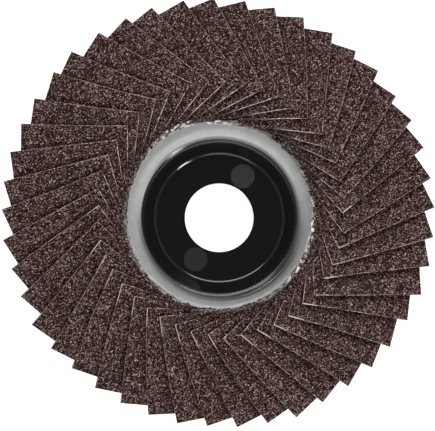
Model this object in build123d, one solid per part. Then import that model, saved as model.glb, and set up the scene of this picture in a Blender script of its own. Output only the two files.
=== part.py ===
"""Flap disc for an angle grinder: a moulded hub, a cast adhesive ring and a fan of abrasive flaps.

Millimetres. The origin lies on the bore axis in the back face, and +Z points out of the abrasive side.
"""
from build123d import *
from math import atan, cos, degrees, radians, sin, sqrt
import os

# Disc
DISC_DIAMETER = 100.0
BORE_DIAMETER = 16.0

# Hub, one glossy plastic moulding: a shallow cup with a lip, and a flange that the flaps are glued on
HUB_FLOOR = 3.0
RECESS_DEPTH = 4.2
RECESS_DIAMETER = 35.5
RECESS_FLOOR_DIAMETER = 30.2
CUP_WALL = 2.2
LIP_THICKNESS = 0.8
LIP_HEIGHT = 0.5
FLANGE_THICKNESS = 1.8
FLANGE_REACH = 4.6
FLOOR_FILLET = 1.4
BACK_FILLET = 0.8
FLANGE_EDGE_FILLET = 0.6
LIP_FILLET = 0.3
BORE_CHAMFER = 0.3

# Round marks that the ejector pins leave in the recess floor, their rims drawn outwards
EJECTOR_DIAMETER = 5.7
EJECTOR_DEPTH = 0.15
EJECTOR_DRAFT = 0.1
EJECTOR_CIRCLE_RADIUS = 11.1
EJECTOR_ANGLES = (60.5, 240.5)

# Flaps, rectangles of coated cloth that overlap like the petals of a fan
FLAP_COUNT = 45
FLAP_WIDTH = 20.0
FLAP_THICKNESS = 1.0
FLAP_CLEARANCE = 0.06
RAISED_EDGE_OFFSET = 19.3
FIRST_TIP_ANGLE = 2.8

# Adhesive ring, cast between the lip and the flaps' inner ends
ADHESIVE_WIDTH = 2.85
ADHESIVE_BED = 0.6
ADHESIVE_RISE = 0.7
ADHESIVE_CREST = 2.8
ADHESIVE_LAP = 0.8
ADHESIVE_UNDERLAP = 3.0
ADHESIVE_SAG = 0.35

# Heights and radii that follow from the sizes above
disc_radius = DISC_DIAMETER / 2
bore_radius = BORE_DIAMETER / 2
recess_radius = RECESS_DIAMETER / 2
recess_floor_radius = RECESS_FLOOR_DIAMETER / 2
rim_z = HUB_FLOOR + RECESS_DEPTH
flange_top_z = rim_z - LIP_HEIGHT
flange_under_z = flange_top_z - FLANGE_THICKNESS
lip_outer_radius = recess_radius + LIP_THICKNESS
foot_radius = lip_outer_radius + ADHESIVE_WIDTH
flange_radius = foot_radius + FLANGE_REACH
flap_base_z = flange_top_z + ADHESIVE_BED
crest_radius = foot_radius + ADHESIVE_LAP
tip_distance = sqrt(disc_radius**2 - RAISED_EDGE_OFFSET**2)
pitch_degrees = 360 / FLAP_COUNT
tip_lag = degrees(atan(RAISED_EDGE_OFFSET / tip_distance))


def cup_radius(height):
    """Radius of the recess wall, which leans outwards from the floor to the rim."""
    lean = (recess_radius - recess_floor_radius) / RECESS_DEPTH
    return recess_floor_radius + lean * (height - HUB_FLOOR)


def turned(corners):
    """Solid of revolution about Z from (radius, height, fillet radius) corners."""
    points = [(radius, height) for radius, height, _ in corners]
    outline = make_face(Plane.XZ * Polyline(*points, close=True))
    for radius, height, fillet_radius in corners:
        if fillet_radius > 0:
            corner = outline.vertices().sort_by_distance((radius, 0, height))[0]
            outline = fillet(corner, fillet_radius)
    return revolve(outline, Axis.Z)


def make_hub():
    """The cup, its lip and its flange, with the bore and the ejector marks."""
    corners = [
        (bore_radius, 0, 0),
        (cup_radius(0) + CUP_WALL, 0, BACK_FILLET),
        (cup_radius(flange_under_z) + CUP_WALL, flange_under_z, BACK_FILLET),
        (flange_radius, flange_under_z, FLANGE_EDGE_FILLET),
        (flange_radius, flange_top_z, FLANGE_EDGE_FILLET),
        (lip_outer_radius, flange_top_z, 0),
        (lip_outer_radius, rim_z, LIP_FILLET),
        (recess_radius, rim_z, LIP_FILLET),
        (recess_floor_radius, HUB_FLOOR, FLOOR_FILLET),
        (bore_radius + BORE_CHAMFER, HUB_FLOOR, 0),
        (bore_radius, HUB_FLOOR - BORE_CHAMFER, 0),
    ]
    hub = turned(corners)
    mark_radius = EJECTOR_DIAMETER / 2
    mark = Cone(mark_radius - EJECTOR_DRAFT, mark_radius + EJECTOR_DRAFT, 2 * EJECTOR_DEPTH)
    for angle in EJECTOR_ANGLES:
        hub -= Rot(0, 0, angle) * Pos(EJECTOR_CIRCLE_RADIUS, 0, HUB_FLOOR) * mark
    return hub


def stacking_slope(distance):
    """Tilt across a flap, as a tangent, at which it just clears its neighbour on the pitch.

    Turning a sheet of slope T by the pitch lifts it by pitch * distance * T. The sheet below
    takes up its thickness, measured along Z, and the clearance.
    """
    step = radians(pitch_degrees) * distance
    spare = step**2 - FLAP_THICKNESS**2
    root = FLAP_THICKNESS * sqrt(spare + FLAP_CLEARANCE**2)
    return (step * FLAP_CLEARANCE + root) / spare


def flap_corners(distance):
    """Low and raised corner of a flap's underside at a distance along its axis, and its thickness.

    They are vectors in a plane across the flap, with the low corner on Z = 0 and the raised one at -Y.
    """
    tilt = atan(stacking_slope(distance))
    across = Vector(-cos(tilt), sin(tilt))
    raised = Vector(-RAISED_EDGE_OFFSET, FLAP_WIDTH * sin(tilt))
    low = raised - across * FLAP_WIDTH
    return low, raised, Vector(sin(tilt), cos(tilt)) * FLAP_THICKNESS


def section_face(distance, corners):
    """Face in the plane across +X at a distance from the disc's axis."""
    section_plane = Plane(origin=(distance, 0, 0), x_dir=(0, 1, 0), z_dir=(1, 0, 0))
    return make_face(section_plane * Polyline(*corners, close=True))


def make_flap():
    """One flap along +X: a flat-cut rectangle of cloth, twisted a little from foot to tip."""
    sections = []
    for distance in (foot_radius, tip_distance):
        low, raised, up = flap_corners(distance)
        sections.append(section_face(distance, [low, raised, raised + up, low + up]))
    return loft(sections, ruled=True)


def in_place(flap_piece, index):
    """Turn a piece that lies along +X to the place of the flap with this index."""
    angle = FIRST_TIP_ANGLE + tip_lag + index * pitch_degrees
    return Rot(0, 0, angle) * Pos(0, 0, flap_base_z) * flap_piece


def make_foot_wedge():
    """The slit under a flap's foot that the adhesive doesn't run into, above its bed.

    Its top lies halfway up the flap, so that cutting the flap as well leaves no skin between them.
    """
    reach = sqrt(crest_radius**2 - foot_radius**2)
    sections = []
    for distance in (foot_radius, crest_radius + ADHESIVE_LAP):
        low, raised, up = flap_corners(distance)
        along = (raised - low).normalized()
        start = low + up / 2
        start += along * ((ADHESIVE_RISE - start.Y) / along.Y)
        end = start + along * reach
        sections.append(section_face(distance, [start, end, (end.X, ADHESIVE_RISE)]))
    return loft(sections, ruled=True)


def make_adhesive(flaps):
    """Cast bead that climbs from the lip over the flaps' feet, and the bed between flaps and flange."""
    bed_radius = foot_radius + ADHESIVE_UNDERLAP
    bed_top_z = flap_base_z + ADHESIVE_RISE
    lip = (lip_outer_radius, rim_z)
    crest = (crest_radius, flap_base_z + ADHESIVE_CREST)
    corners = [
        crest,
        (crest_radius, bed_top_z),
        (bed_radius, bed_top_z),
        (bed_radius, flange_top_z),
        (lip_outer_radius, flange_top_z),
        lip,
    ]
    outline = Polyline(*corners) + SagittaArc(lip, crest, ADHESIVE_SAG)
    bead = revolve(make_face(Plane.XZ * outline), Axis.Z)
    wedge = make_foot_wedge()
    wedges = [in_place(wedge, index) for index in range(FLAP_COUNT)]
    return bead - wedges - flaps


def write(name, solid):
    """Export one piece under its node name."""
    solid.label = name
    export_step(solid, f"parts/{name}.step")


def main():
    """Build and write every piece."""
    os.makedirs("parts", exist_ok=True)
    flap = make_flap()
    flaps = [in_place(flap, index) for index in range(FLAP_COUNT)]
    write("hub", make_hub())
    write("adhesive_ring", make_adhesive(flaps))
    for number, placed_flap in enumerate(flaps, start=1):
        write(f"flap_{number:02d}", placed_flap)


main()
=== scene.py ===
from math import atan2, ceil, cos, hypot, pi, radians, sin, sqrt

import bpy
import numpy as np
from mathutils import Matrix, Vector
from mathutils.bvhtree import BVHTree
from mathutils.geometry import delaunay_2d_cdt


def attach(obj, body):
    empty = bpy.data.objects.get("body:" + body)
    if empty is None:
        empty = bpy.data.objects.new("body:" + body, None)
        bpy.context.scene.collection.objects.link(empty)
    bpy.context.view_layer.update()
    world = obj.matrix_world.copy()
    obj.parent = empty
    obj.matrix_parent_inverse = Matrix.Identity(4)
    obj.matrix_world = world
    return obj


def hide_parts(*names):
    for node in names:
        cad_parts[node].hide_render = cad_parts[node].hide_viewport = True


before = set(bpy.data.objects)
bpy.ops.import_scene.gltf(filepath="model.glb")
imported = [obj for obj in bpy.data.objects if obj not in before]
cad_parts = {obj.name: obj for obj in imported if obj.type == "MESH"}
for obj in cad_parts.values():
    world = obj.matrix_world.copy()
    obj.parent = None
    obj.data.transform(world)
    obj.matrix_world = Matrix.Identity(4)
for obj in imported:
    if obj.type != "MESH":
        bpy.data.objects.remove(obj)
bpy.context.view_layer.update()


# ---------------------------------------------------------------------------------------------
# Hub. One injection moulding of glossy black nylon: a shallow cup with a bore, a thin lip and a
# flange under the flaps. Two ejector pins left round matte marks in its floor.
# ---------------------------------------------------------------------------------------------
MM = 0.001
HUB_BLACK = (0.0050, 0.0050, 0.0056, 1)
HUB_ROUGHNESS = 0.06
HUB_SMEARS = 0.05
HUB_SMEAR_SIZE = 3 * MM
HUB_RIPPLE_SIZE = 0.8 * MM
MARK_ROUGHNESS = 0.34
# Greys of the two matte marks; the first is paler than the second as a painted sheen.
MARK_GREYS_AND_SHEEN = ((0.019, 0.019, 0.020, 1), (0.010, 0.010, 0.011, 1))
MARK_RADIUS = 2.85 * MM
MARK_EDGE = 0.08 * MM
MARK_CIRCLE_RADIUS = 11.1 * MM
MARK_ANGLES = (radians(60.5), radians(240.5))
MARKS_ABOVE = (2.0 * MM, 2.6 * MM)


class Field:
    """A shader socket used in Python expressions: each operator adds one Math node to its tree."""

    def __init__(self, socket):
        self.socket = socket

    def node(self, kind, settings=None, output=0, **inputs):
        """Add a node. Settings come first, then each input by name, with _ for a blank."""
        made = self.socket.id_data.nodes.new(kind)
        for name, value in (settings or {}).items():
            setattr(made, name, value)
        for name, value in inputs.items():
            feed(find_input(made, name), value)
        return Field(made.outputs[output])

    def maths(self, operation, *values):
        """Add a Math node, fed with its values in order."""
        made = self.socket.id_data.nodes.new("ShaderNodeMath")
        made.operation = operation
        for place, value in zip(made.inputs, values):
            feed(place, value)
        return Field(made.outputs[0])

    def __add__(self, other):
        return self.maths("ADD", self, other)

    def __sub__(self, other):
        return self.maths("SUBTRACT", self, other)

    def __rsub__(self, other):
        return self.maths("SUBTRACT", other, self)

    def __mul__(self, other):
        return self.maths("MULTIPLY", self, other)

    def __truediv__(self, other):
        return self.maths("DIVIDE", self, other)

    def __pow__(self, other):
        return self.maths("POWER", self, other)

    __radd__ = __add__
    __rmul__ = __mul__

    def lowest(self, other):
        """The smaller of the two at each place."""
        return self.maths("MINIMUM", self, other)

    def highest(self, other):
        """The larger of the two at each place."""
        return self.maths("MAXIMUM", self, other)

    def sine(self):
        """The sine of the field, in radians."""
        return self.maths("SINE", self)

    def ramp(self, start, end):
        """0 below start, 1 above end, and smooth between them."""
        return self.node("ShaderNodeMapRange", {"interpolation_type": "SMOOTHSTEP"},
                         Value=self, From_Min=start, From_Max=end)

    def colour(self, low, high):
        """A colour from low, where this field is 0, to high, where it is 1."""
        return self.node("ShaderNodeMix", {"data_type": "RGBA"}, 2, Factor=self, A=low, B=high)


def find_input(node, name):
    """The input with this name that is in use; a Mix node has one of each name for each type."""
    sockets = [place for place in node.inputs if place.name == name.replace("_", " ")]
    return next(place for place in sockets if place.enabled)


def feed(place, value):
    """Link a field to an input, or set the input to a constant."""
    if isinstance(value, Field):
        place.id_data.links.new(value.socket, place)
    else:
        place.default_value = value


def finish(name, **constants):
    """A new material with its shader's constants set; returns it, its shader and a position field."""
    material = bpy.data.materials.new(name)
    material.use_nodes = True
    shader = material.node_tree.nodes["Principled BSDF"]
    for socket, value in constants.items():
        feed(find_input(shader, socket), value)
    place = material.node_tree.nodes.new("ShaderNodeNewGeometry").outputs["Position"]
    return material, shader, Field(place)


def split(vector):
    """The x, y and z fields of a vector field."""
    parts = vector.node("ShaderNodeSeparateXYZ", Vector=vector).socket.node
    return [Field(output) for output in parts.outputs]


def distance_from(place, axis_x=0.0, axis_y=0.0):
    """Distance from the disc's axis, or from a line that stands beside it at (x, y)."""
    x, y, _ = split(place)
    return ((x - axis_x) ** 2 + (y - axis_y) ** 2) ** 0.5


def bump(shader, height, strength, distance):
    """Roughen a shader's surface by a height field; distance is the relief at full height."""
    made = height.node("ShaderNodeBump", Height=height, Strength=strength, Distance=distance)
    feed(shader.inputs["Normal"], made)


def noise(place, size, detail):
    """Cloudy noise with features of about this size, in metres, and this many finer octaves."""
    return place.node("ShaderNodeTexNoise", {"noise_dimensions": "3D"}, Vector=place,
                      Scale=1 / size, Detail=detail, Roughness=0.5)


def moulded_nylon():
    """Glossy black nylon, faintly smeared, with the two matte ejector marks in the recess floor."""
    material, shader, place = finish("moulded nylon", IOR=1.5)
    in_recess = split(place)[2].ramp(*MARKS_ABOVE)
    colour = HUB_BLACK
    gloss = HUB_ROUGHNESS + noise(place, HUB_SMEAR_SIZE, detail=3) * HUB_SMEARS
    for angle, grey in zip(MARK_ANGLES, MARK_GREYS_AND_SHEEN):
        middle = (MARK_CIRCLE_RADIUS * cos(angle), MARK_CIRCLE_RADIUS * sin(angle))
        mark = 1 - distance_from(place, *middle).ramp(MARK_RADIUS - MARK_EDGE, MARK_RADIUS)
        mark = mark * in_recess
        colour = mark.colour(colour, grey)
        gloss = gloss + mark * (MARK_ROUGHNESS - HUB_ROUGHNESS)
    feed(shader.inputs["Base Color"], colour)
    feed(shader.inputs["Roughness"], gloss)
    bump(shader, noise(place, HUB_RIPPLE_SIZE, detail=2), strength=0.15, distance=0.01 * MM)
    return material


def add_piece(name, points, faces, materials, smooth=True):
    """A mesh object from points in metres and faces, with its materials."""
    mesh = bpy.data.meshes.new(name)
    mesh.from_pydata(np.asarray(points).tolist(), [], faces)
    for material in materials:
        mesh.materials.append(material)
    mesh.polygons.foreach_set("use_smooth", [smooth] * len(mesh.polygons))
    mesh.update()
    piece = bpy.data.objects.new(name, mesh)
    bpy.context.scene.collection.objects.link(piece)
    return piece


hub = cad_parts["hub"]
hub_finish = moulded_nylon()
for material_slot in hub.material_slots:
    material_slot.material = hub_finish


# ---------------------------------------------------------------------------------------------
# Flaps. Forty-five rectangles of resin-bonded cotton cloth, coated with crushed brown aluminium
# oxide. They are laid on the flange one on the other, on an even pitch, with their feet in resin.
# ---------------------------------------------------------------------------------------------
FLAP_NAMES = sorted(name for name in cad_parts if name.startswith("flap_"))
FLAP_PITCH = 2 * pi / len(FLAP_NAMES)
RAISED_EDGE_OFFSET = 19.3 * MM
GRAIN, CUT, BACKING = range(3)

# The coat of grain, the ragged cut round it and the coarse net of the back
GRAIN_PITCH = 0.32 * MM
GRAIN_JITTER = 0.38
GRAIN_RELIEF = 0.34 * MM
EDGE_GRAIN_LEAST = 0.3
CLOTH_SHARE = 0.62
CLOTH_SHARE_SPREAD = 0.1
CUT_BEVEL = 0.08 * MM
CUT_RAGGED = 0.06 * MM
CUT_WANDER = 0.08 * MM
CUT_WANDER_PITCH = 1.3 * MM
CUT_WANDER_KNOTS = 4
BACK_PITCH = 2.6 * MM
PATTERN_SEED = 7
FIRST_FLAP_SEED = 100

# How unevenly each flap is cut and laid
LENGTH_SPREAD = 0.45 * MM
SLIDE_SPREAD = 0.16 * MM
TWIST_SPREAD = radians(0.45)
BOW_SPREAD = 0.14 * MM

# How far the whole fan lies off centre: once and twice round, each with its size and direction
DRIFT_START = 19 * MM
INNER_RADIUS = 28.7 * MM
TIP_RADIUS = 50 * MM
INNER_DRIFT_OUT = ((1.72 * MM, radians(77)), (0.62 * MM, radians(-155)))
INNER_DRIFT_ROUND = ((0.47 * MM, radians(-66)), (0.17 * MM, radians(-69)))
TIP_DRIFT_OUT = ((0.76 * MM, radians(111)), (0.52 * MM, radians(-69)))
TIP_DRIFT_ROUND = ((0.21 * MM, radians(85)), (0.52 * MM, radians(-118)))

# Grain: most of it dark, and darker still beside the edge of the flap above, in a painted shadow
GRAIN_SIZE = 0.22 * MM
GRAIN_PORE_SIZE = 0.12 * MM
GRAIN_DARK = (0.0150, 0.0034, 0.0020, 1)
GRAIN_ROSE = (0.515, 0.355, 0.345, 1)
GRAIN_OLIVE = (0.480, 0.348, 0.315, 1)
GRAIN_FALLOFF = 4.4
GRAIN_LEAST = 0.05
GRAIN_SPREAD = 1.45
GRAIN_ROUGHNESS = 0.60
FACET_GLOSS = 0.25
FACET_TONES = (0.85, 1.0)
BLOTCH_SIZE = 3.5 * MM
BLOTCH_TONES = (0.3, 0.7)
CLOUD_SIZE = 8 * MM
CLOUD_LEAST = 0.88
CLOUD_SPREAD = 0.24
SHADED_WIDTH = 1.9 * MM
SHADED_INSIDE = 0.12
SHADED_OUTSIDE = 0.28
OUTER_HALF = (25 * MM, 35 * MM)

# Resin that ran out of the ring between the grains, and the yarn that frayed along its edge
SOAKED_FROM = 20.8 * MM
SOAKED_TO = 22.6 * MM
SOAKED_GREY = (0.38, 0.375, 0.36, 1)
SOAKED_GLOSS = 0.2
SOAKED_RAGGED = 0.7
SOAKED_SHARES = (0.25, 0.8)
RUN_SIZE = 2.2 * MM
RUN_REACH = 2.6 * MM
SEEP_SIZE = 0.4 * MM
SEEP_REACH = 1.0 * MM
SPILL = 1.1 * MM
SPILL_ANGLE = radians(118)
SPILL_SHARPNESS = 13
FRAYED_ANGLES = (radians(108), radians(340))
FRAYED_SHARPNESS = 14
FRAYED_ELSEWHERE = 0.08
FRAYED_FROM = 20.9 * MM
FRAYED_TO = 22.4 * MM
FRAYED_SIZE = 1.1 * MM
FRAYED_TONES = (0.46, 0.58)
FRAYED_GAIN = 2
FRAYED_WHITE = (0.88, 0.85, 0.82, 1)

# Cut edges: pale yarn, palest at the foot, partly as a painted highlight, with dark resin soaked in and
# over the innermost part
CUT_CLOTH = (0.66, 0.52, 0.48, 1)
CUT_FOOT_PALE_AND_LIT = (0.90, 0.80, 0.76, 1)
CUT_RESIN = (0.085, 0.045, 0.038, 1)
CUT_SOAK_SIZE = 0.45 * MM
CUT_SOAK_DRIFT_SIZE = 4 * MM
CUT_SOAK_SHARE = 0.75
CUT_SOAK_TONES = (0.40, 0.54)
CUT_YARN_SIZE = 0.2 * MM
FOOT_SPARED = 0.8
FOOT_CORNER = (0.3 * MM, 0.9 * MM)
FOOT_LINE = (24.0 * MM, 24.8 * MM)
FADED_FROM = 23.6 * MM
FADED_TO = 26.0 * MM

# Backing cloth
BACK_CLOTH = (0.21, 0.13, 0.10, 1)
BACK_DARK = (0.10, 0.058, 0.046, 1)
YARN_PITCH = 0.55 * MM
WEAR_SIZE = 2 * MM


def towards(place, angle, sharpness):
    """1 in this direction from the axis, falling off to both sides, and 0 behind."""
    x, y, _ = split(place)
    facing = (x * cos(angle) + y * sin(angle)) / distance_from(place)
    return facing.highest(0) ** sharpness


def unspilled_radius(place):
    """Distance from the axis, less the way that the resin ran further out on one side."""
    return distance_from(place) - towards(place, SPILL_ANGLE, SPILL_SHARPNESS) * SPILL


def soaked_share(place):
    """1 where resin from the ring has run between the grains, fading to 0 in a ragged front."""
    run = (noise(place, RUN_SIZE, detail=2) - 0.5) * RUN_REACH
    seep = (noise(place, SEEP_SIZE, detail=1) - 0.5) * SEEP_REACH
    return 1 - (unspilled_radius(place) + run + seep).ramp(SOAKED_FROM, SOAKED_TO)


def frayed_share(place):
    """1 where pale yarn has frayed out of a flap's foot, in flecks along the edge of the resin."""
    radius = unspilled_radius(place)
    middle = (FRAYED_FROM + FRAYED_TO) / 2
    band = radius.ramp(FRAYED_FROM, middle) * (1 - radius.ramp(middle, FRAYED_TO))
    sides = [towards(place, angle, FRAYED_SHARPNESS) for angle in FRAYED_ANGLES]
    flecks = noise(place, FRAYED_SIZE, detail=1).ramp(*FRAYED_TONES)
    return (flecks * band * (sides[0] + sides[1] + FRAYED_ELSEWHERE) * FRAYED_GAIN).lowest(1)


def own_place(place):
    """Position in a flap's own frame: x out along it, y across it, with the axis at 0."""
    return Field(place.node("ShaderNodeTexCoord").socket.node.outputs["Object"])


def coated_grain():
    """Crushed grain under a resin coat: every grain of its own tone, from dark pits to pale faces."""
    material, shader, place = finish("aluminium oxide grain", IOR=1.5, Specular_IOR_Level=0.06)
    grain = place.node("ShaderNodeTexVoronoi", {"voronoi_dimensions": "3D"}, 1, Vector=place,
                       Scale=1 / GRAIN_SIZE)
    tone, second_tone, _ = split(grain)
    blotch = noise(place, BLOTCH_SIZE, detail=2).ramp(*BLOTCH_TONES)
    along, across, _ = split(own_place(place))
    uncovered = along * sin(FLAP_PITCH) - across * cos(FLAP_PITCH) - RAISED_EDGE_OFFSET
    outside = distance_from(place).ramp(*OUTER_HALF)
    # A painted shadow beside the raised edge of the next flap, deeper on the outer half.
    shadow = (1 - uncovered.ramp(0, SHADED_WIDTH)) * (SHADED_INSIDE + outside * SHADED_OUTSIDE)
    cloud = CLOUD_LEAST + noise(place, CLOUD_SIZE, detail=2) * CLOUD_SPREAD
    shade = tone ** GRAIN_FALLOFF * (GRAIN_LEAST + second_tone * GRAIN_SPREAD) * (1 - shadow) * cloud
    dry = shade.colour(GRAIN_DARK, blotch.colour(GRAIN_ROSE, GRAIN_OLIVE))
    soaked = (soaked_share(place) + (tone - 0.5) * SOAKED_RAGGED).ramp(*SOAKED_SHARES)
    wet = soaked.colour(dry, SOAKED_GREY)
    gloss = tone.ramp(*FACET_TONES) * FACET_GLOSS + soaked * SOAKED_GLOSS
    feed(shader.inputs["Base Color"], frayed_share(place).colour(wet, FRAYED_WHITE))
    feed(shader.inputs["Roughness"], GRAIN_ROUGHNESS - gloss)
    bump(shader, noise(place, GRAIN_PORE_SIZE, detail=2), strength=0.5, distance=0.05 * MM)
    return material


def cut_cloth():
    """The cut edge: pale ends of yarn, soaked dark with resin here and there."""
    material, shader, place = finish("cut cloth edge", Roughness=0.8)
    along, across, _ = split(own_place(place))
    # The foot end is paler yarn, made paler still as a painted highlight.
    foot = (1 - along.ramp(*FOOT_LINE)) * (across + RAISED_EDGE_OFFSET).ramp(*FOOT_CORNER)
    soak = (noise(place, CUT_SOAK_SIZE, detail=3) * CUT_SOAK_SHARE
            + noise(place, CUT_SOAK_DRIFT_SIZE, detail=2) * (1 - CUT_SOAK_SHARE))
    under_resin = 1 - distance_from(place).ramp(FADED_FROM, FADED_TO)
    dark = (soak.ramp(*CUT_SOAK_TONES) * (1 - foot * FOOT_SPARED)).highest(under_resin)
    feed(shader.inputs["Base Color"], dark.colour(foot.colour(CUT_CLOTH, CUT_FOOT_PALE_AND_LIT), CUT_RESIN))
    bump(shader, noise(place, CUT_YARN_SIZE, detail=2), strength=0.8, distance=0.08 * MM)
    return material


def backing_cloth():
    """Twill of the backing, its yarns along and across the flap, under a thin resin size."""
    material, shader, place = finish("backing cloth", Roughness=0.8)
    along, across, _ = split(own_place(place))
    warp = (along * (2 * pi / YARN_PITCH)).sine()
    weft = (across * (2 * pi / YARN_PITCH)).sine()
    over = (warp * weft) * 0.5 + 0.5
    worn = over * 0.6 + noise(place, WEAR_SIZE, detail=3) * 0.5
    feed(shader.inputs["Base Color"], worn.ramp(0.2, 0.8).colour(BACK_DARK, BACK_CLOTH))
    bump(shader, over, strength=0.6, distance=0.08 * MM)
    return material


def turned_about_axis(points, angle):
    """Points turned about Z."""
    rotation = np.array([[cos(angle), -sin(angle), 0], [sin(angle), cos(angle), 0], [0, 0, 1]])
    return points @ rotation.T


SQUARE_WITHIN = 0.01
FACES_AXIS = -0.9
SAME_PLACE = 0.01 * MM


def foot_direction(node):
    """The angle of a flap solid's long axis about Z: its foot's flat end face is square to it."""
    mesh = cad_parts[node].data
    for polygon in mesh.polygons:
        x, y, z = polygon.normal
        centre = polygon.center
        towards_axis = x * centre.x + y * centre.y < FACES_AXIS * hypot(centre.x, centre.y)
        if abs(z) < SQUARE_WITHIN and towards_axis:
            return atan2(-y, -x)


def flap_corners(node, direction):
    """The solid's corners with its long axis on X: [foot, tip][low, raised][under, top]."""
    points = np.array([vertex.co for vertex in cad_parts[node].data.vertices])
    points = turned_about_axis(points, -direction)
    corners = []
    for end in (points[:, 0].min(), points[:, 0].max()):
        section = points[abs(points[:, 0] - end) < SAME_PLACE]
        low = (section[section[:, 2].argmin()], section[section[:, 1].argmax()])
        raised = (section[section[:, 1].argmin()], section[section[:, 2].argmax()])
        corners.append((low, raised))
    return np.array(corners)


def waves(angles, swings):
    """A sum of cosines round the disc: once round, twice round, each with its height and crest."""
    return sum(height * np.cos(times * angles - crest)
               for times, (height, crest) in enumerate(swings, start=1))


def drifted(points):
    """Points carried with the fan, which was laid a little off centre and unevenly round."""
    angles = np.arctan2(points[:, 1], points[:, 0])
    radii = np.hypot(points[:, 0], points[:, 1])
    hold = np.clip((radii - DRIFT_START) / (INNER_RADIUS - DRIFT_START), 0, 1)
    reach = np.clip((radii - INNER_RADIUS) / (TIP_RADIUS - INNER_RADIUS), 0, 1)
    out = hold * ((1 - reach) * waves(angles, INNER_DRIFT_OUT) + reach * waves(angles, TIP_DRIFT_OUT))
    around = hold * ((1 - reach) * waves(angles, INNER_DRIFT_ROUND)
                     + reach * waves(angles, TIP_DRIFT_ROUND))
    moved = points.copy()
    moved[:, 0] += out * np.cos(angles) - around * np.sin(angles)
    moved[:, 1] += out * np.sin(angles) + around * np.cos(angles)
    return moved


class FlapPattern:
    """Triangles of one flap in a flat (along, across) square, shared by every flap.

    Rings of points run round the cut edge. Grain points fill the top, and a coarse net the back.
    """

    def __init__(self, length, width, rng):
        self.length, self.width = length, width
        self.ring = self.edge_ring(GRAIN_PITCH)
        self.grain = self.scattered(GRAIN_PITCH, CUT_BEVEL + CUT_RAGGED + 0.5 * GRAIN_PITCH, rng)
        self.back = self.scattered(BACK_PITCH, BACK_PITCH / 2, rng)
        self.top_faces = self.filled(self.inset_ring(CUT_BEVEL), self.grain)
        self.back_faces = self.filled(self.ring, self.back)

    def edge_ring(self, pitch):
        """Even points round the rectangle, anticlockwise from the low corner of the foot."""
        corners = [(0, 0), (self.length, 0), (self.length, self.width), (0, self.width)]
        ring = []
        for start, end in zip(corners, corners[1:] + corners[:1]):
            steps = ceil(hypot(end[0] - start[0], end[1] - start[1]) / pitch)
            shares = np.arange(steps)[:, None] / steps
            ring.append(np.array(start) * (1 - shares) + np.array(end) * shares)
        return np.concatenate(ring)

    def inset_ring(self, inset):
        """The edge ring drawn in by an inset, a number or one for each point."""
        centre = np.array([self.length, self.width]) / 2
        half = centre - np.reshape(inset, (-1, 1))
        return np.clip(self.ring - centre, -half, half) + centre

    def scattered(self, pitch, margin, rng):
        """Points on a loose grid inside the rectangle, each moved at random."""
        along = np.linspace(margin, self.length - margin, round((self.length - 2 * margin) / pitch) + 1)
        across = np.linspace(margin, self.width - margin, round((self.width - 2 * margin) / pitch) + 1)
        grid = np.stack(np.meshgrid(along, across, indexing="ij"), axis=-1).reshape(-1, 2)
        return grid + rng.uniform(-GRAIN_JITTER, GRAIN_JITTER, grid.shape) * min(pitch, margin)

    def filled(self, ring, inner):
        """Triangles over the ring and the inner points, ring points first."""
        points = [Vector(point) for point in np.concatenate([ring, inner]) / MM]
        count = len(ring)
        edges = [(index, (index + 1) % count) for index in range(count)]
        inside_only, closest = 1, 1e-6
        _, _, faces, original, _, _ = delaunay_2d_cdt(points, edges, [], inside_only, closest)
        return [[original[corner][0] for corner in face] for face in faces]


def flap_surface(corners, flat, height):
    """Points over a flap: flat is (along, across) as shares of 1, and height a share of thickness."""
    along, across = flat[:, :1], flat[:, 1:]
    under = corners[:, :, 0]
    up = corners[:, :, 1] - under
    low = under[0, 0] * (1 - along) + under[1, 0] * along
    raised = under[0, 1] * (1 - along) + under[1, 1] * along
    rise = up[0, 0] * (1 - along) + up[1, 0] * along
    return low * (1 - across) + raised * across + rise * np.reshape(height, (-1, 1))


def wandering(count, pitch, amount, rng):
    """A smooth closed random line of this many values between 0 and an amount."""
    knots = rng.uniform(0, amount, max(CUT_WANDER_KNOTS, round(count * GRAIN_PITCH / pitch)))
    knots = np.append(knots, knots[0])
    return np.interp(np.linspace(0, len(knots) - 1, count, endpoint=False), np.arange(len(knots)), knots)


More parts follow.
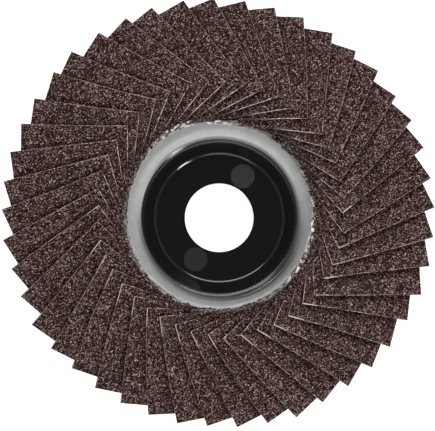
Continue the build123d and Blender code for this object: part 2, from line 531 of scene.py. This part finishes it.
def make_flap(node, pattern, rng, materials):
    """One flap: ragged cut edges, a skin of grain on top and plain cloth below."""
    direction = foot_direction(node)
    corners = flap_corners(node, direction)
    size = np.array([pattern.length, pattern.width])
    thickness = np.linalg.norm(corners[0, 0, 1] - corners[0, 0, 0])
    trimmed = 1 - rng.uniform(0, LENGTH_SPREAD) / pattern.length
    twist = rng.normal(0, TWIST_SPREAD)
    slide = rng.normal(0, SLIDE_SPREAD, 2)
    bow = rng.normal(0, BOW_SPREAD)
    count = len(pattern.ring)
    relief = GRAIN_RELIEF / thickness

    def laid(flat, height):
        """Flat points trimmed, twisted about the tip, slid and laid on the flap's own slope."""
        bowed = np.sin(flat[:, 0] / pattern.length * pi) * bow
        from_tip = flat * (trimmed, 1) - size
        from_tip[:, 1] += bowed
        turned = from_tip @ np.array([[cos(twist), sin(twist)], [-sin(twist), cos(twist)]])
        points = flap_surface(corners, (turned + size + slide) / size, height)
        return turned_about_axis(drifted(turned_about_axis(points, direction)), -direction)

    cloth_ring = pattern.inset_ring(rng.uniform(0, CUT_RAGGED, count))
    bevel = CUT_BEVEL - CUT_WANDER / 2 + wandering(count, CUT_WANDER_PITCH, CUT_WANDER, rng)
    grain_ring = pattern.inset_ring(bevel + rng.uniform(-1, 1, count) * CUT_RAGGED)
    points = np.concatenate([
        laid(pattern.ring, np.zeros(count)),
        laid(cloth_ring, CLOTH_SHARE + CLOTH_SHARE_SPREAD * rng.uniform(-1, 1, count)),
        laid(grain_ring, 1 - relief * rng.uniform(EDGE_GRAIN_LEAST, 1, count)),
        laid(pattern.grain, 1 - relief * rng.uniform(0, 1, len(pattern.grain))),
        laid(pattern.back, np.zeros(len(pattern.back))),
    ])
    ring = np.arange(count)
    after = (ring + 1) % count
    # The raised edge lies at -Y, so what runs anticlockwise in the flat square is clockwise from above
    walls = []
    for base in (0, count):
        above = base + count
        walls += np.stack([base + ring, above + ring, above + after, base + after], 1).tolist()
    top_start, back_start = 2 * count, 3 * count + len(pattern.grain)
    top = [[corner + top_start for corner in face[::-1]] for face in pattern.top_faces]
    back = []
    for face in pattern.back_faces:
        back.append([corner if corner < count else corner - count + back_start for corner in face])
    piece = add_piece(f"abrasive_{node}", points, walls + top + back, materials, smooth=False)
    upper_walls = np.where(pattern.ring[:, 0] < CUT_BEVEL, CUT, GRAIN).tolist()
    kinds = [CUT] * count + upper_walls + [GRAIN] * len(top) + [BACKING] * len(back)
    piece.data.polygons.foreach_set("material_index", kinds)
    piece.matrix_world = Matrix.Rotation(direction, 4, "Z")
    return piece


flap_finishes = [coated_grain(), cut_cloth(), backing_cloth()]
first_direction = foot_direction(FLAP_NAMES[0])
first_corners = flap_corners(FLAP_NAMES[0], first_direction)
flap_length = first_corners[1, 0, 0, 0] - first_corners[0, 0, 0, 0]
flap_width = np.linalg.norm(first_corners[0, 1, 0] - first_corners[0, 0, 0])
flap_pattern = FlapPattern(flap_length, flap_width, np.random.default_rng(PATTERN_SEED))
flaps = []
for seed, flap_name in enumerate(FLAP_NAMES, start=FIRST_FLAP_SEED):
    flap = make_flap(flap_name, flap_pattern, np.random.default_rng(seed), flap_finishes)
    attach(flap, "root")
    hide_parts(flap_name)
    flaps.append(flap)


# ---------------------------------------------------------------------------------------------
# Adhesive ring. Grey translucent resin, poured on the flange and set: it wets the lip, climbs
# to the flaps' feet in a smooth hollow curve and ends there in a ragged edge.
# ---------------------------------------------------------------------------------------------
# The poured surface: a film on the lip with a bead along it, a shallow dip, and the climb
RESIN_INNER_RADIUS = 17.95 * MM
RESIN_LIP_RADIUS = 18.55 * MM
RESIN_LIP_Z = 7.2 * MM
RESIN_FILM = 0.12 * MM
RESIN_BEAD = 0.10 * MM
RESIN_BEAD_RADIUS = 18.35 * MM
RESIN_BEAD_WIDTH = 0.22 * MM
RESIN_DIP = 0.40 * MM
RESIN_DIP_SKEW = 0.6
RESIN_HOLLOW = 3.2
RESIN_CREST_RADIUS = 21.7 * MM
RESIN_CREST_Z = 9.5 * MM
RESIN_OUTER_RADIUS = 23.8 * MM
RESIN_SWELL = 0.12 * MM
RESIN_SWELL_WAVES = (3, 5, 9, 14)

# The ragged edge where it wets the feet, and the bed below them
RESIN_WET_RADIUS = 21.1 * MM
RESIN_WET_SPREAD = 0.28 * MM
RESIN_WET_WAVES = (7, 12, 19, 31, 45, 71, 103)
RESIN_WET_DEPTH = 0.30 * MM
RESIN_SUNK_MOST = 1.5
RESIN_BED_RADIUS = 24.4 * MM
RESIN_BED_SPREAD = 0.25 * MM
RESIN_BED_WAVES = (5, 8, 13, 29, 47)
RESIN_BED_Z = 6.7 * MM
RESIN_BED_TOP = 7.3 * MM
RESIN_BED_ROUNDING = 0.4 * MM
RESIN_BED_UNDERCUT = 0.1 * MM
RESIN_SKIRT = 1 * MM
RESIN_LIP_LAP = 0.3 * MM
RESIN_LIP_DROP = 0.15 * MM

# The net of its mesh
RESIN_TURNS = 1080
RESIN_TOP_ROWS = 50
RESIN_ROW_CROWDING = 1.5
RESIN_FREE_ROWS = 20
RESIN_EVENINGS = 3
RESIN_SHARP_ANGLE = radians(50)
RESIN_SEED = 11

# Its colour round the disc: painted light on one side and painted shade on the other, a painted highlight
# along the lip at one side and another near the edge, and a thin film where it runs over the feet
RESIN_DARK = (0.020, 0.020, 0.021, 1)
RESIN_GREY = (0.60, 0.615, 0.605, 1)
RESIN_OVER_GRAIN = (0.110, 0.085, 0.078, 1)
RESIN_PALENESS = 0.48
RESIN_DEEPENS = (17.85 * MM, 19.15 * MM)
RESIN_CLIMBS = (19.15 * MM, 21.1 * MM)
RESIN_CLIMB_PALER = 0.20
RESIN_LIT_ANGLE = radians(100)
RESIN_LIT_PALER = 0.32
RESIN_LIT_SIDE_CLIMB_SHADE = 0.42
RESIN_SHADED_ANGLE = radians(325)
RESIN_SHADED_SHARPNESS = 3
RESIN_SHADED_DARKER = 0.20
RESIN_LIP_HIGHLIGHT_ANGLE = radians(163)
RESIN_LIP_HIGHLIGHT_SHARPNESS = 14
RESIN_LIP_HIGHLIGHT_PALER = 0.5
RESIN_LIP_HIGHLIGHT_FADES = (18.45 * MM, 19.15 * MM)
RESIN_RIM_HIGHLIGHT_ANGLE = radians(262)
RESIN_RIM_HIGHLIGHT_SHARPNESS = 1.5
RESIN_RIM_HIGHLIGHT_PALER = 0.45
RESIN_RIM_HIGHLIGHT_RADIUS = 20.95 * MM
RESIN_RIM_HIGHLIGHT_WIDTH = 0.30 * MM
RESIN_RIM_HIGHLIGHT_WAVE_SIZE = 3 * MM
RESIN_RIM_HIGHLIGHT_WAVE = 1 * MM
RESIN_THINS_FROM = 21.1 * MM
RESIN_THINS_TO = 22.1 * MM
RESIN_THINS_RAGGED = 1.6 * MM
RESIN_THINS_SIZE = 0.6 * MM
RESIN_THINNEST = 0.9
RESIN_CLOUD_SIZE = 2.5 * MM
RESIN_CLOUD_LEAST = 0.80
RESIN_CLOUD_SPREAD = 0.4
RESIN_RIPPLE_SIZE = 1.1 * MM
RESIN_ROUGHNESS = 0.16
RESIN_ROUGHENS = (18.55 * MM, 19.55 * MM)
RESIN_ROUGHER = 0.30


def round_noise(angles, waves_round, rng):
    """Smooth random values between about -1 and 1 that close on themselves round the disc."""
    total = np.zeros(len(angles))
    for count in waves_round:
        total += np.cos(count * angles - rng.uniform(0, 2 * pi)) * rng.uniform(0.5, 1)
    return total / sqrt(len(waves_round))


def heights_of_flaps(places, pieces):
    """The height of the uppermost flap at each (x, y) place, as if felt from above with a probe."""
    points, faces = [], []
    for piece in pieces:
        start = len(points)
        points += [piece.matrix_world @ vertex.co for vertex in piece.data.vertices]
        faces += [[start + corner for corner in polygon.vertices] for polygon in piece.data.polygons]
    probe = BVHTree.FromPolygons(points, faces)
    found = [probe.ray_cast(Vector((x, y, 1)), Vector((0, 0, -1)))[0] for x, y in places]
    return np.array([hit.z if hit else 0.0 for hit in found])


def evened(grid, rounds):
    """A height grid smoothed a little along the radius and round the disc, as a liquid would be."""
    for _ in range(rounds):
        grid = (np.roll(grid, 1, axis=1) + 2 * grid + np.roll(grid, -1, axis=1)) / 4
        padded = np.concatenate([grid[:1], grid, grid[-1:]])
        grid = (padded[:-2] + 2 * padded[1:-1] + padded[2:]) / 4
    return grid


def poured(radii, swell):
    """Heights of the free surface, from the film on the lip to the crest of the climb."""
    climb = np.clip((radii - RESIN_LIP_RADIUS) / (RESIN_CREST_RADIUS - RESIN_LIP_RADIUS), 0, 1)
    film = np.clip((radii - RESIN_INNER_RADIUS) / (RESIN_LIP_RADIUS - RESIN_INNER_RADIUS), 0, 1)
    heights = RESIN_LIP_Z + film * RESIN_FILM + swell * climb
    heights -= RESIN_DIP * np.sin(pi * climb ** RESIN_DIP_SKEW)
    heights += (RESIN_CREST_Z - RESIN_LIP_Z) * climb ** RESIN_HOLLOW
    heights += RESIN_BEAD * np.exp(-((radii - RESIN_BEAD_RADIUS) / RESIN_BEAD_WIDTH) ** 2)
    return heights


def draped(pour, feet, past_edge):
    """The poured heights laid over the feet as far as the wet edge, and sunk under them past it."""
    wet = np.clip(-past_edge / RESIN_WET_DEPTH, -RESIN_SUNK_MOST, 1) * RESIN_WET_DEPTH
    on_feet = feet > RESIN_LIP_Z
    over_feet = np.maximum(feet + wet, pour - RESIN_WET_DEPTH / 2)
    heights = np.maximum(np.where(on_feet, over_feet, pour), pour)
    heights = np.concatenate([pour[:RESIN_FREE_ROWS], evened(heights, RESIN_EVENINGS)[RESIN_FREE_ROWS:]])
    ended = on_feet & (past_edge > RESIN_WET_DEPTH)
    return np.where(ended, np.minimum(heights, feet + wet), heights)


def resin_rows(rng, pieces):
    """Points of the ring, row by row: over the lip, up the climb, over the feet, then the bed."""
    angles = np.linspace(0, 2 * pi, RESIN_TURNS, endpoint=False)
    spread = np.linspace(0, 1, RESIN_TOP_ROWS) ** RESIN_ROW_CROWDING
    radii = (RESIN_INNER_RADIUS + (RESIN_OUTER_RADIUS - RESIN_INNER_RADIUS) * spread)[:, None] + 0 * angles
    flat = np.stack([radii * np.cos(angles), radii * np.sin(angles), 0 * radii], axis=-1)
    top = drifted(flat.reshape(-1, 3))
    feet = heights_of_flaps(top[:, :2], pieces).reshape(radii.shape)
    pour = poured(radii, round_noise(angles, RESIN_SWELL_WAVES, rng) * RESIN_SWELL)
    wet_edge = RESIN_WET_RADIUS + round_noise(angles, RESIN_WET_WAVES, rng) * RESIN_WET_SPREAD
    wet_edge += SPILL * np.maximum(np.cos(angles - SPILL_ANGLE), 0) ** SPILL_SHARPNESS
    past_edge = np.hypot(top[:, 0], top[:, 1]).reshape(radii.shape) - wet_edge
    top[:, 2] = draped(pour, feet, past_edge).ravel()
    bed = RESIN_BED_RADIUS + round_noise(angles, RESIN_BED_WAVES, rng) * RESIN_BED_SPREAD
    under = [
        (RESIN_OUTER_RADIUS, RESIN_BED_TOP + RESIN_SKIRT),
        (bed - RESIN_BED_ROUNDING, RESIN_BED_TOP),
        (bed, (RESIN_BED_TOP + RESIN_BED_Z) / 2),
        (bed - RESIN_BED_UNDERCUT, RESIN_BED_Z),
        (RESIN_LIP_RADIUS, RESIN_BED_Z),
        (RESIN_LIP_RADIUS, RESIN_LIP_Z - RESIN_LIP_DROP),
        (RESIN_LIP_RADIUS - RESIN_LIP_LAP, RESIN_LIP_Z),
    ]
    rows = [top]
    for radius, height in under:
        rows.append(np.stack([radius * np.cos(angles), radius * np.sin(angles), height + 0 * angles], -1))
    return np.concatenate(rows).reshape(-1, RESIN_TURNS, 3)


def cast_resin():
    """Grey resin: dark where it thins out over the black lip, with painted light and shade round the ring
    and painted highlights along the lip and near the edge.
    """
    material, shader, place = finish("cast resin", IOR=1.5)
    radius = distance_from(place)
    climb = radius.ramp(*RESIN_CLIMBS)
    # Painted light and shade: paler towards one side and darker opposite it and towards a second side; up
    # the climb darker on the lit side and paler on the other.
    lit_side = towards(place, RESIN_LIT_ANGLE, 1) - towards(place, RESIN_LIT_ANGLE + pi, 1)
    shaded_side = towards(place, RESIN_SHADED_ANGLE, RESIN_SHADED_SHARPNESS)
    paleness = RESIN_PALENESS + lit_side * RESIN_LIT_PALER - shaded_side * RESIN_SHADED_DARKER
    paleness = paleness + climb * (RESIN_CLIMB_PALER - lit_side * RESIN_LIT_SIDE_CLIMB_SHADE)
    paleness = paleness * radius.ramp(*RESIN_DEEPENS)

    # A painted highlight along the lip, on one side.
    lip_highlight = radius.ramp(RESIN_INNER_RADIUS, RESIN_BEAD_RADIUS) * (1 - radius.ramp(*RESIN_LIP_HIGHLIGHT_FADES))
    lip_highlight = lip_highlight * towards(place, RESIN_LIP_HIGHLIGHT_ANGLE, RESIN_LIP_HIGHLIGHT_SHARPNESS)
    # A painted highlight in a thin wavy band near the outer edge, strongest on one side.
    wavy = unspilled_radius(place) + (noise(place, RESIN_RIM_HIGHLIGHT_WAVE_SIZE, detail=2) - 0.5) * RESIN_RIM_HIGHLIGHT_WAVE
    rim_highlight = wavy.ramp(RESIN_RIM_HIGHLIGHT_RADIUS - RESIN_RIM_HIGHLIGHT_WIDTH, RESIN_RIM_HIGHLIGHT_RADIUS)
    rim_highlight = rim_highlight * (1 - wavy.ramp(RESIN_RIM_HIGHLIGHT_RADIUS, RESIN_RIM_HIGHLIGHT_RADIUS + RESIN_RIM_HIGHLIGHT_WIDTH))
    rim_highlight = rim_highlight * towards(place, RESIN_RIM_HIGHLIGHT_ANGLE, RESIN_RIM_HIGHLIGHT_SHARPNESS)
    cloud = RESIN_CLOUD_LEAST + noise(place, RESIN_CLOUD_SIZE, detail=3) * RESIN_CLOUD_SPREAD
    tone = (paleness + lip_highlight * RESIN_LIP_HIGHLIGHT_PALER) * cloud + rim_highlight * RESIN_RIM_HIGHLIGHT_PALER

    ragged = (noise(place, RESIN_THINS_SIZE, detail=2) - 0.5) * RESIN_THINS_RAGGED
    film = (unspilled_radius(place) + ragged).ramp(RESIN_THINS_FROM, RESIN_THINS_TO) * RESIN_THINNEST
    colour = film.colour(tone.colour(RESIN_DARK, RESIN_GREY), RESIN_OVER_GRAIN)
    feed(shader.inputs["Base Color"], frayed_share(place).colour(colour, FRAYED_WHITE))
    feed(shader.inputs["Roughness"], RESIN_ROUGHNESS + radius.ramp(*RESIN_ROUGHENS) * RESIN_ROUGHER)
    bump(shader, noise(place, RESIN_RIPPLE_SIZE, detail=3), strength=0.25, distance=0.05 * MM)
    return material


ring_points = resin_rows(np.random.default_rng(RESIN_SEED), flaps)
steps, turns = ring_points.shape[:2]
step, turn = np.meshgrid(np.arange(steps), np.arange(turns), indexing="ij")
next_step, next_turn = (step + 1) % steps, (turn + 1) % turns
ring_faces = np.stack([step * turns + turn, next_step * turns + turn,
                       next_step * turns + next_turn, step * turns + next_turn], axis=-1)
adhesive = add_piece("cast_adhesive_ring", ring_points.reshape(-1, 3),
                     ring_faces.reshape(-1, 4).tolist(), [cast_resin()])
adhesive.data.set_sharp_from_angle(angle=RESIN_SHARP_ANGLE)
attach(adhesive, "root")
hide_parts("adhesive_ring")


# ---------------------------------------------------------------------------------------------
# Table, lamps and camera. The disc lies on a white table under a wide, low lamp behind it, a weak
# one in front, and an upright strip lamp at the lower right that shows as a bar in the glossy cup.
# The room is grey, with a darker ceiling, and the camera looks down, a little from the front.
# ---------------------------------------------------------------------------------------------
TABLE_SIZE = 1.6
TABLE_Z = -0.02 * MM
TABLE_WHITE = (0.80, 0.80, 0.80, 1)
TABLE_LIFT = 0.66
ROOM_GREY = (0.38, 0.38, 0.38, 1)
CEILING_GREY = (0.10, 0.10, 0.10, 1)
CEILING_CONE = (cos(radians(34)), cos(radians(20)))


def white_table():
    """Diffuse white that camera and mirror rays see lifted to full white, with the shadow kept."""
    material, shader, _ = finish("white table", Roughness=0.9, Specular_IOR_Level=0)
    shader.inputs["Base Color"].default_value = TABLE_WHITE
    nodes, links = material.node_tree.nodes, material.node_tree.links
    rays = nodes.new("ShaderNodeLightPath")
    seen = Field(rays.outputs["Is Camera Ray"]).highest(Field(rays.outputs["Is Glossy Ray"]))
    seen = seen.highest(Field(rays.outputs["Is Transmission Ray"]))
    glow = seen.node("ShaderNodeEmission", Color=(1, 1, 1, 1), Strength=seen * TABLE_LIFT)
    both = seen.node("ShaderNodeAddShader")
    links.new(shader.outputs[0], both.socket.node.inputs[0])
    links.new(glow.socket, both.socket.node.inputs[1])
    links.new(both.socket, nodes["Material Output"].inputs["Surface"])
    return material


table_half = TABLE_SIZE / 2
table_points = [(-table_half, -table_half, TABLE_Z), (table_half, -table_half, TABLE_Z),
                (table_half, table_half, TABLE_Z), (-table_half, table_half, TABLE_Z)]
table = add_piece("table", table_points, [(0, 1, 2, 3)], [white_table()])

world = bpy.data.worlds.new("room")
world.use_nodes = True
background = world.node_tree.nodes["Background"]
looking = Field(world.node_tree.nodes.new("ShaderNodeTexCoord").outputs["Generated"])
overhead = split(looking)[2].ramp(*CEILING_CONE)
feed(background.inputs["Color"], overhead.colour(ROOM_GREY, CEILING_GREY))
bpy.context.scene.world = world


def add_lamp(name, place, wide, tall, power):
    """A rectangular area lamp aimed at the disc, its sizes in metres and its power in watts."""
    light = bpy.data.lights.new(name, "AREA")
    light.shape = "RECTANGLE"
    light.size = wide
    light.size_y = tall
    light.energy = power
    lamp = bpy.data.objects.new(name, light)
    lamp.location = place
    lamp.rotation_euler = (-Vector(place)).to_track_quat("-Z", "Y").to_euler()
    bpy.context.scene.collection.objects.link(lamp)


add_lamp("key_lamp", place=(-0.06, 0.62, 0.58), wide=0.80, tall=0.30, power=5.0)
add_lamp("fill_lamp", place=(-0.10, -0.60, 0.60), wide=0.50, tall=0.50, power=1.4)
add_lamp("strip_lamp", place=(0.30, -0.41, 0.62), wide=0.10, tall=0.40, power=2.6)

IMAGE_WIDTH, IMAGE_HEIGHT = 435, 431
CAMERA_ELEVATION = radians(87.5)
CAMERA_DISTANCE = 0.90
PIXELS_PER_MM = 4.32
IMAGE_CENTRE_ON_DISC = Vector((0, 0, 7.2 * MM))
SENSOR = 36.0
AXIS_PIXEL = (219.2, 216.9)

camera_data = bpy.data.cameras.new("camera")
camera_data.sensor_fit = "HORIZONTAL"
camera_data.sensor_width = SENSOR
camera_data.lens = PIXELS_PER_MM / MM * CAMERA_DISTANCE * SENSOR / IMAGE_WIDTH
camera_data.shift_x = -(AXIS_PIXEL[0] - IMAGE_WIDTH / 2) / IMAGE_WIDTH
camera_data.shift_y = (AXIS_PIXEL[1] - IMAGE_HEIGHT / 2) / IMAGE_WIDTH
camera = bpy.data.objects.new("camera", camera_data)
away = Vector((0, -cos(CAMERA_ELEVATION), sin(CAMERA_ELEVATION)))
camera.location = IMAGE_CENTRE_ON_DISC + away * CAMERA_DISTANCE
camera.rotation_euler = (pi / 2 - CAMERA_ELEVATION, 0, 0)
bpy.context.scene.collection.objects.link(camera)
bpy.context.scene.camera = camera
bpy.context.scene.view_settings.view_transform = "Standard"
